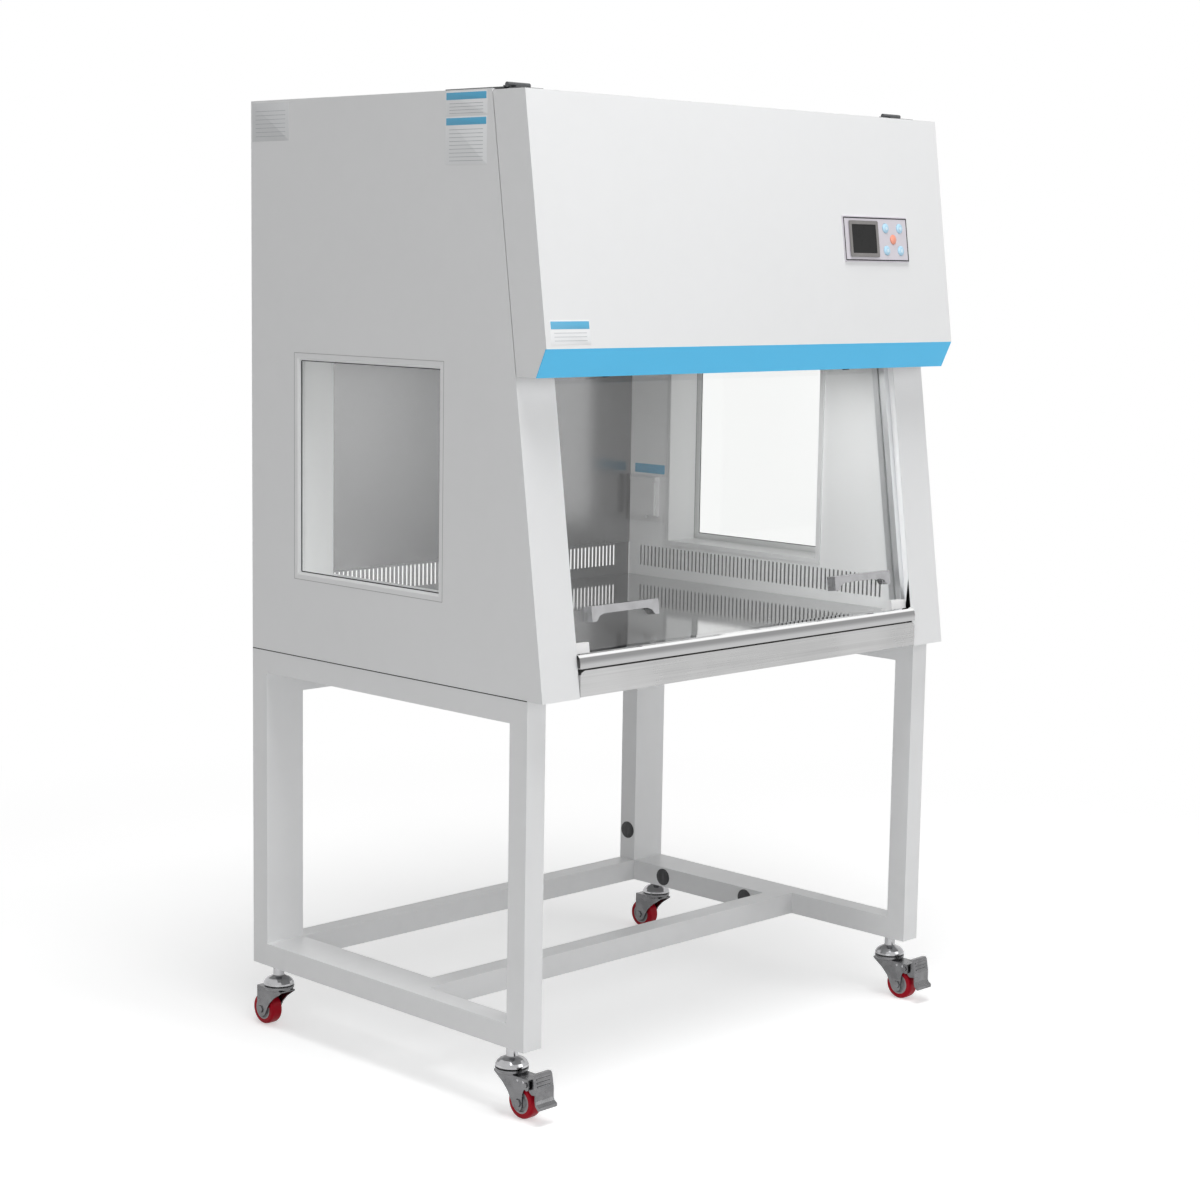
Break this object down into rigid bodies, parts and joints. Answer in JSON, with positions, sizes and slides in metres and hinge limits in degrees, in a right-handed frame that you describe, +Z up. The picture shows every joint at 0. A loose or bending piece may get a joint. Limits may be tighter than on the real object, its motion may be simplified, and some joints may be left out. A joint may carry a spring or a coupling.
{
  "type": "vertical laminar flow cabinet",
  "caption": "Laminar flow clean bench with a sliding glass sash, side windows, hinged front cover with control panel, and a tube stand on swivel castors.",
  "frame": {"origin": "centre of the overall box at floor level", "axes": "+Z up from the floor, -Y towards the user at the sash, +X to the user's right"},
  "size_m": [1.031, 0.755, 1.636],
  "materials": {
    "stand_paint": "satin",
    "cabinet_paint": "satin",
    "inner_sheet": "matte",
    "stainless": "satin",
    "galvanised": "satin",
    "bright_plating": "polished",
    "zinc_plating": "satin",
    "hub_grey": "satin",
    "tyre_red": "satin",
    "black_plastic": "matte",
    "black_rubber": "matte",
    "window_glass": "gloss",
    "sash_glass": "gloss",
    "band_blue": "gloss",
    "hinge_grey": "satin",
    "guide_aluminium": "satin",
    "white_plastic": "satin",
    "panel_lilac": "satin",
    "screen_dark": "gloss",
    "button_blue": "gloss",
    "button_orange": "gloss",
    "filter_white": "matte",
    "fan_aluminium": "satin",
    "motor_iron": "satin",
    "lamp_white": "gloss",
    "socket_plastic": "satin",
    "cover_smoke": "gloss"
  },
  "bodies": {
    "cabinet": {"stand_left_frame": "stand_paint", "stand_right_frame": "stand_paint", "stand_rear_frame": "stand_paint", "stand_base_frame": "stand_paint", "tube_plugs": "black_plastic", "frame_bolts": "zinc_plating", "caster_stems": "bright_plating", "left_side_panel": "cabinet_paint", "right_side_panel": "cabinet_paint", "left_liner": "inner_sheet", "right_liner": "inner_sheet", "rear_panel": "cabinet_paint", "top_panel": "cabinet_paint", "base_pan": "cabinet_paint", "rear_liner": "stainless", "return_grilles": "stainless", "work_surface": "stainless", "front_apron": "stainless", "window_frames": "cabinet_paint", "window_panes": "window_glass", "hinge_cabinet_leaves": "hinge_grey", "sash_guides": "guide_aluminium", "sash_stops": "black_rubber", "guide_end_blocks": "white_plastic", "hepa_filter": "filter_white", "blower_deck": "galvanised", "blower_housing": "galvanised", "blower_motor": "motor_iron", "prefilter": "filter_white", "led_lamp": "lamp_white", "uv_lamp": "lamp_white", "socket_box": "socket_plastic"},
    "hood": {"hood_cover": "cabinet_paint", "hood_band": "band_blue", "hinge_cover_leaves": "hinge_grey", "control_panel_plate": "panel_lilac", "display_screen": "screen_dark"},
    "sash": {"sash_glass": "sash_glass", "sash_handles": "bright_plating"},
    "socket_lid": {"socket_cover": "cover_smoke"},
    "impeller": {"blower_impeller": "fan_aluminium"},
    "swivel_front_left": {"caster_front_left_fork": "zinc_plating"},
    "wheel_front_left": {"caster_front_left_hub": "hub_grey", "caster_front_left_tyre": "tyre_red"},
    "pedal_front_left": {"caster_front_left_brake_pedal": "zinc_plating"},
    "swivel_front_right": {"caster_front_right_fork": "zinc_plating"},
    "wheel_front_right": {"caster_front_right_hub": "hub_grey", "caster_front_right_tyre": "tyre_red"},
    "pedal_front_right": {"caster_front_right_brake_pedal": "zinc_plating"},
    "swivel_rear_left": {"caster_rear_left_fork": "zinc_plating"},
    "wheel_rear_left": {"caster_rear_left_hub": "hub_grey", "caster_rear_left_tyre": "tyre_red"},
    "swivel_rear_right": {"caster_rear_right_fork": "zinc_plating"},
    "wheel_rear_right": {"caster_rear_right_hub": "hub_grey", "caster_rear_right_tyre": "tyre_red"},
    "key_upper_left": {"button_upper_left": "button_blue"},
    "key_upper_right": {"button_upper_right": "button_blue"},
    "key_lower_left": {"button_lower_left": "button_blue"},
    "key_lower_right": {"button_lower_right": "button_blue"},
    "key_centre": {"button_centre": "button_orange"}
  },
  "joints": [
    {"name": "swivel_front_left", "type": "hinge", "parent": "cabinet", "child": "swivel_front_left", "pos_m": [-0.488, -0.2925, 0.078], "axis": [0, 0, 1], "continuous": true},
    {"name": "roll_front_left", "type": "hinge", "parent": "swivel_front_left", "child": "wheel_front_left", "pos_m": [-0.488, -0.3245, 0.028], "axis": [1, 0, 0], "continuous": true},
    {"name": "brake_front_left", "type": "hinge", "parent": "swivel_front_left", "child": "pedal_front_left", "pos_m": [-0.488, -0.3425, 0.062], "axis": [1, 0, 0], "range_deg": [0, 6]},
    {"name": "swivel_front_right", "type": "hinge", "parent": "cabinet", "child": "swivel_front_right", "pos_m": [0.488, -0.2925, 0.078], "axis": [0, 0, 1], "continuous": true},
    {"name": "roll_front_right", "type": "hinge", "parent": "swivel_front_right", "child": "wheel_front_right", "pos_m": [0.488, -0.3245, 0.028], "axis": [1, 0, 0], "continuous": true},
    {"name": "brake_front_right", "type": "hinge", "parent": "swivel_front_right", "child": "pedal_front_right", "pos_m": [0.488, -0.3425, 0.062], "axis": [1, 0, 0], "range_deg": [0, 6]},
    {"name": "swivel_rear_left", "type": "hinge", "parent": "cabinet", "child": "swivel_rear_left", "pos_m": [-0.488, 0.3175, 0.078], "axis": [0, 0, 1], "continuous": true},
    {"name": "roll_rear_left", "type": "hinge", "parent": "swivel_rear_left", "child": "wheel_rear_left", "pos_m": [-0.488, 0.3495, 0.028], "axis": [1, 0, 0], "continuous": true},
    {"name": "swivel_rear_right", "type": "hinge", "parent": "cabinet", "child": "swivel_rear_right", "pos_m": [0.488, 0.3175, 0.078], "axis": [0, 0, 1], "continuous": true},
    {"name": "roll_rear_right", "type": "hinge", "parent": "swivel_rear_right", "child": "wheel_rear_right", "pos_m": [0.488, 0.3495, 0.028], "axis": [1, 0, 0], "continuous": true},
    {"name": "press_upper_left", "type": "slide", "parent": "hood", "child": "key_upper_left", "axis": [0, 0.9907, -0.1364], "range_m": [0, 0.001], "stiffness_N_per_m": 400},
    {"name": "press_upper_right", "type": "slide", "parent": "hood", "child": "key_upper_right", "axis": [0, 0.9907, -0.1364], "range_m": [0, 0.001], "stiffness_N_per_m": 400},
    {"name": "press_lower_left", "type": "slide", "parent": "hood", "child": "key_lower_left", "axis": [0, 0.9907, -0.1364], "range_m": [0, 0.001], "stiffness_N_per_m": 400},
    {"name": "press_lower_right", "type": "slide", "parent": "hood", "child": "key_lower_right", "axis": [0, 0.9907, -0.1364], "range_m": [0, 0.001], "stiffness_N_per_m": 400},
    {"name": "press_centre", "type": "slide", "parent": "hood", "child": "key_centre", "axis": [0, 0.9907, -0.1364], "range_m": [0, 0.001], "stiffness_N_per_m": 400},
    {"name": "sash_slide", "type": "slide", "parent": "cabinet", "child": "sash", "axis": [0, 0.1364, 0.9907], "range_m": [0, 0.362]},
    {"name": "hood_hinge", "type": "hinge", "parent": "cabinet", "child": "hood", "pos_m": [0, -0.2715, 1.632], "axis": [-1, 0, 0], "range_deg": [0, 60]},
    {"name": "socket_lid_hinge", "type": "hinge", "parent": "cabinet", "child": "socket_lid", "pos_m": [0.412, 0.3015, 0.939], "axis": [0, 1, 0], "range_deg": [0, 100], "stiffness_Nm_per_rad": 0.02, "springref_deg": -28.65},
    {"name": "impeller_spin", "type": "hinge", "parent": "cabinet", "child": "impeller", "pos_m": [0, 0.0745, 1.4585], "axis": [1, 0, 0], "continuous": true}
  ]
}
